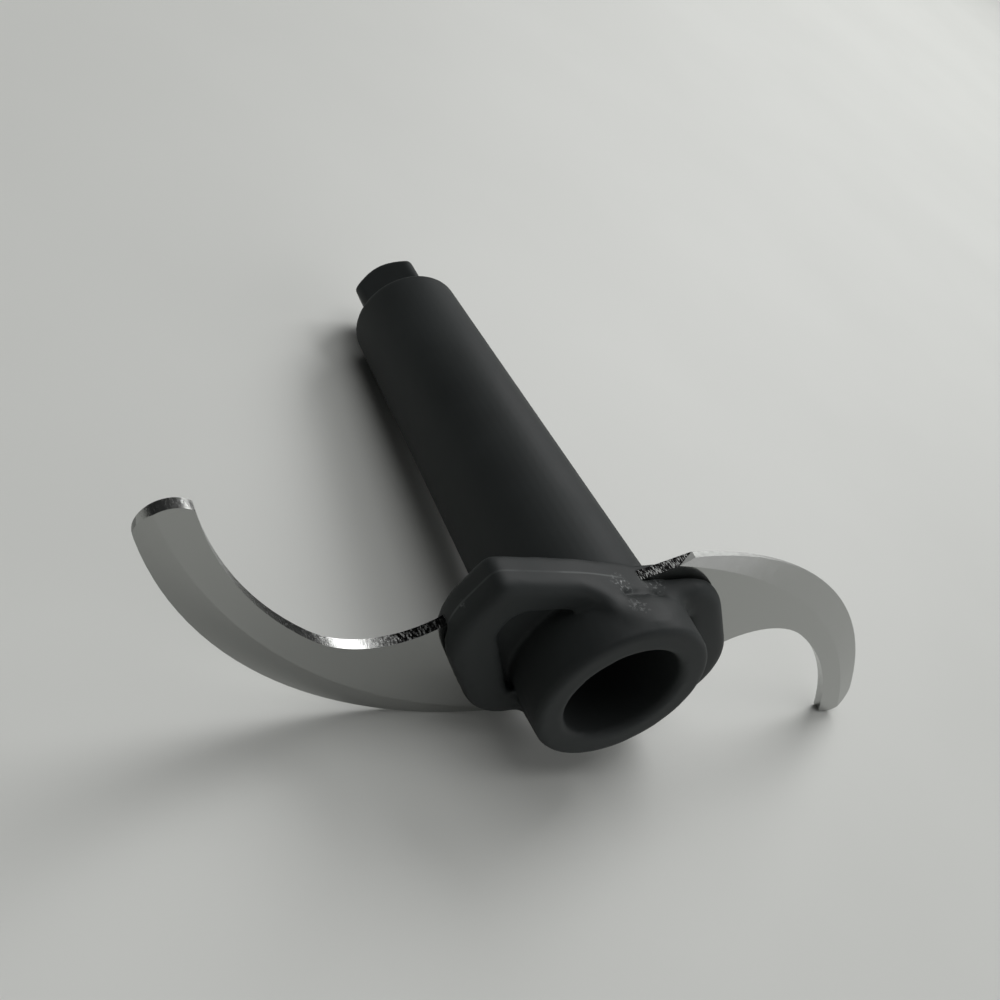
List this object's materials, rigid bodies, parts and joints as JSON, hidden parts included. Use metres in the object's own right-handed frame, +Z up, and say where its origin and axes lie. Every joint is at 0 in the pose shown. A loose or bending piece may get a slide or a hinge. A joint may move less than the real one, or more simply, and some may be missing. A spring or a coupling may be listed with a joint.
{
  "type": "chopping blade",
  "caption": "S-shaped steel chopping blade with a ground edge on each arm, moulded into a plastic hub with a hollow tapered shaft and a square drive end.",
  "frame": {"origin": "on the floor, under the middle of the part's box as it lies at rest", "axes": "+X across the blade's span, +Y along the floor under the shaft, from the mouth towards the drive end, +Z up"},
  "size_m": [0.1056, 0.0708, 0.0254],
  "materials": {
    "hub_plastic": "satin moulded acetal, dark grey",
    "blade_steel": "polished stainless steel with a ground edge"
  },
  "bodies": {
    "root": {"hub": "hub_plastic", "blade": "blade_steel"}
  },
  "joints": []
}
